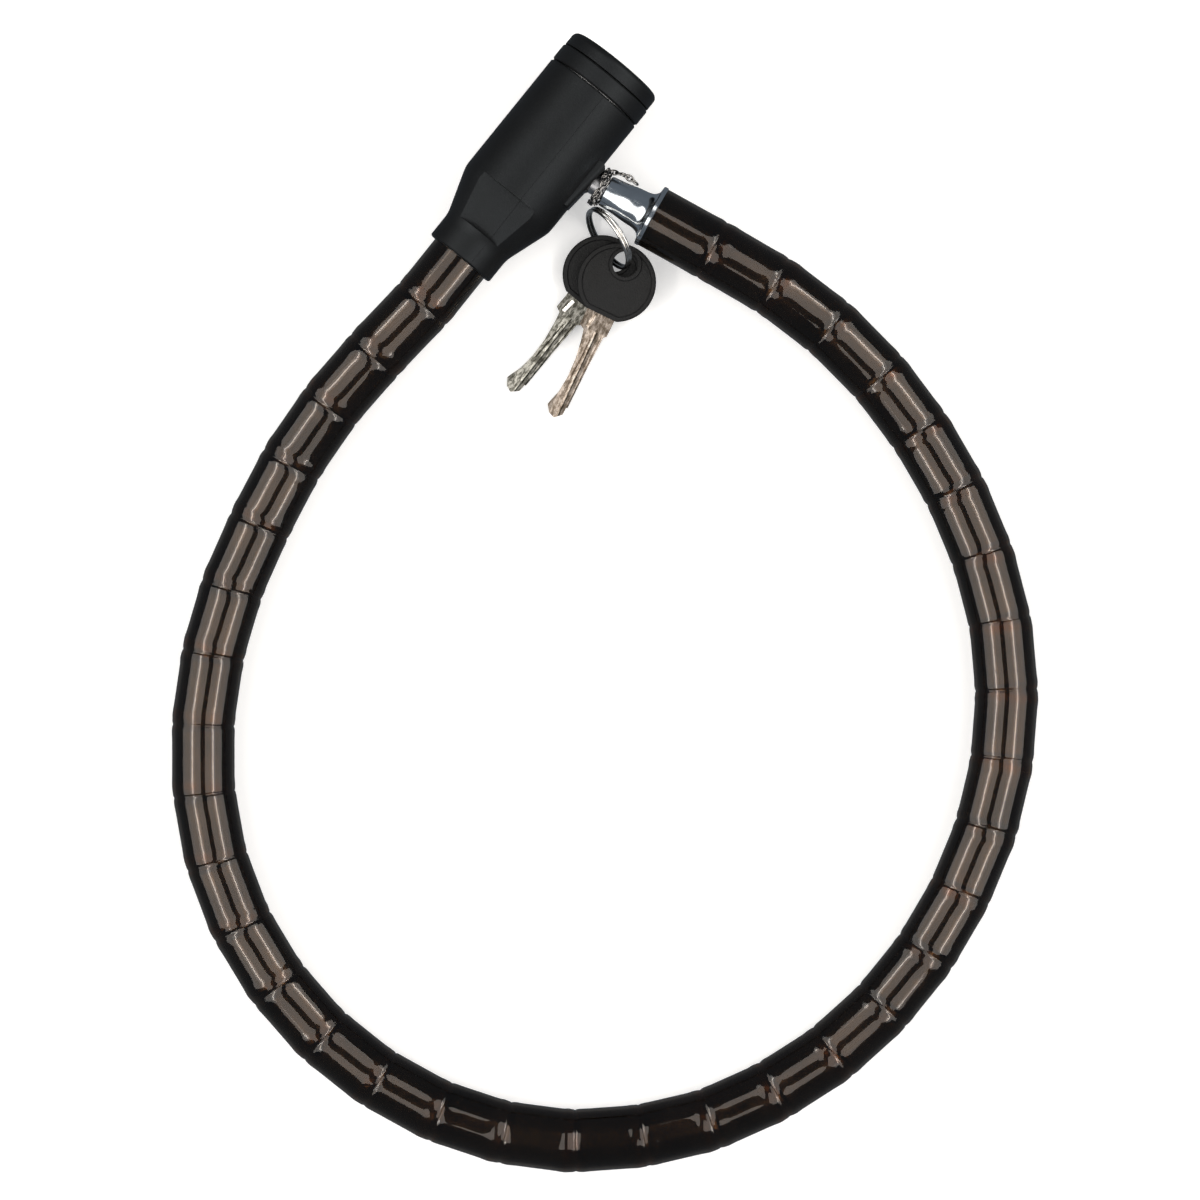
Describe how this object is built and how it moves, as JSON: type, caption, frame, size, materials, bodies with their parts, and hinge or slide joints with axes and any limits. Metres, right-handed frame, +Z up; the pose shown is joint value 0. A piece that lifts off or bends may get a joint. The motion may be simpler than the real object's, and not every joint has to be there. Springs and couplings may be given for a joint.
{
  "type": "armoured cable lock",
  "caption": "Armoured cable lock: steel links in a clear sheath, a keyed lock head and a ferrule with a locking bolt that closes the loop, with keys on a split ring.",
  "frame": {"origin": "middle of the closed lock's plan, on the surface it lies on", "axes": "+Z up from that surface; +Y towards the lock head along the loop's longer way; +X across the loop, towards the bolt's side"},
  "size_m": [0.3018, 0.3956, 0.037],
  "materials": {
    "armour_steel": "zinc-plated pressed steel, dulled",
    "sheath_pvc": "glossy smoky-brown clear PVC",
    "rope_steel": "bright steel wire and small steel parts",
    "cover_plastic": "matte black moulding, finely grained",
    "core_zinc": "die-cast zinc",
    "cylinder_brass": "turned brass",
    "ferrule_chrome": "bright zinc chrome",
    "bolt_steel": "hardened steel",
    "key_nickel": "nickel plate, lightly worn",
    "chain_steel": "dark twisted steel wire",
    "bow_plastic": "matte black grained plastic"
  },
  "bodies": {
    "head": {"lock_cover": "cover_plastic", "cover_ring": "cover_plastic", "lock_core": "core_zinc", "lock_barrel": "cylinder_brass", "barrel_pin": "rope_steel", "rope_anchor": "core_zinc", "latch_spring": "rope_steel", "sheath": "sheath_pvc", "wire_rope": "rope_steel", "link_01": "armour_steel", "link_02": "armour_steel", "link_03": "armour_steel", "link_04": "armour_steel"},
    "dust_cap": {"dust_cap": "cover_plastic"},
    "key_plug": {"key_plug": "cylinder_brass", "wafers": "cylinder_brass", "wafer_springs": "rope_steel", "plug_clip": "rope_steel"},
    "latch": {"latch": "rope_steel"},
    "cable_05_07": {"link_05": "armour_steel", "link_06": "armour_steel", "link_07": "armour_steel"},
    "cable_08_10": {"link_08": "armour_steel", "link_09": "armour_steel", "link_10": "armour_steel"},
    "cable_11_13": {"link_11": "armour_steel", "link_12": "armour_steel", "link_13": "armour_steel"},
    "cable_14_16": {"link_14": "armour_steel", "link_15": "armour_steel", "link_16": "armour_steel"},
    "cable_17_35": {"link_17": "armour_steel", "link_18": "armour_steel", "link_19": "armour_steel", "link_20": "armour_steel", "link_21": "armour_steel", "link_22": "armour_steel", "link_23": "armour_steel", "link_24": "armour_steel", "link_25": "armour_steel", "link_26": "armour_steel", "link_27": "armour_steel", "link_28": "armour_steel", "link_29": "armour_steel", "link_30": "armour_steel", "link_31": "armour_steel", "link_32": "armour_steel", "link_33": "armour_steel", "link_34": "armour_steel", "link_35": "armour_steel"},
    "bolt": {"link_36": "armour_steel", "ferrule": "ferrule_chrome", "locking_bolt": "bolt_steel", "rope_stop": "core_zinc", "key_chain": "chain_steel"},
    "key_ring": {"key_ring": "key_nickel"},
    "key_front": {"key_blade_front": "key_nickel", "key_bow_front": "bow_plastic"},
    "key_back": {"key_blade_back": "key_nickel", "key_bow_back": "bow_plastic"}
  },
  "joints": [
    {"name": "cable_bend_04", "type": "hinge", "parent": "head", "child": "cable_05_07", "pos_m": [-0.10844, 0.05039, 0.01225], "axis": [0, 0, -1], "range_deg": [0, 21.95], "deforming": ["sheath", "wire_rope"]},
    {"name": "cable_bend_07", "type": "hinge", "parent": "cable_05_07", "child": "cable_08_10", "pos_m": [-0.13638, -0.01614, 0.011], "axis": [0, 0, -1], "range_deg": [-8, 24]},
    {"name": "cable_bend_10", "type": "hinge", "parent": "cable_08_10", "child": "cable_11_13", "pos_m": [-0.13569, -0.08796, 0.011], "axis": [0, 0, -1], "range_deg": [-5.5, 26.5]},
    {"name": "cable_bend_13", "type": "hinge", "parent": "cable_11_13", "child": "cable_14_16", "pos_m": [-0.0989, -0.14947, 0.011], "axis": [0, 0, -1], "range_deg": [-5.5, 26.5]},
    {"name": "cable_bend_16", "type": "hinge", "parent": "cable_14_16", "child": "cable_17_35", "pos_m": [-0.03595, -0.18382, 0.011], "axis": [0, 0, -1], "range_deg": [-5, 27]},
    {"name": "cable_bend_35", "type": "hinge", "parent": "cable_17_35", "child": "bolt", "pos_m": [0.03892, 0.12204, 0.0185], "axis": [0, 0, -1], "range_deg": [-15, 17]},
    {"name": "cap_turn", "type": "hinge", "parent": "head", "child": "dust_cap", "pos_m": [0.00407, 0.18723, 0.0185], "axis": [0.6286, 0.7777, 0], "range_deg": [0, 90]},
    {"name": "plug_turn", "type": "hinge", "parent": "head", "child": "key_plug", "pos_m": [-0.00071, 0.18131, 0.0185], "axis": [0.6286, 0.7777, 0], "range_deg": [0, 90]},
    {"name": "latch_slide", "type": "slide", "parent": "head", "child": "latch", "axis": [-0.6286, -0.7777, 0], "range_m": [0, 0.00205], "deforming": ["latch_spring"]},
    {"name": "ring_swing", "type": "hinge", "parent": "bolt", "child": "key_ring", "pos_m": [-0.0049, 0.13713, 0.0118], "axis": [0, 0, 1], "range_deg": [-8, 3]},
    {"name": "key_swing_front", "type": "hinge", "parent": "key_ring", "child": "key_front", "pos_m": [0.00718, 0.11857, 0.0089], "axis": [-0.0385, -0.0782, 0.9962], "range_deg": [0, 30]},
    {"name": "key_swing_back", "type": "hinge", "parent": "key_ring", "child": "key_back", "pos_m": [0.00342, 0.12076, 0.0043], "axis": [-0.0331, -0.0405, 0.9986], "range_deg": [-6, 0]}
  ],
  "couplings": [
    {"joint": "cable_bend_07", "follows": "cable_bend_04", "ratio": 1.0456},
    {"joint": "cable_bend_10", "follows": "cable_bend_04", "ratio": 1.1408},
    {"joint": "cable_bend_13", "follows": "cable_bend_04", "ratio": 0.6287},
    {"joint": "cable_bend_16", "follows": "cable_bend_04", "ratio": 0.18314},
    {"joint": "cable_bend_35", "follows": "cable_bend_04", "ratio": -0.35353},
    {"joint": "latch_slide", "follows": "plug_turn", "m_per_rad": 0.0013051}
  ]
}
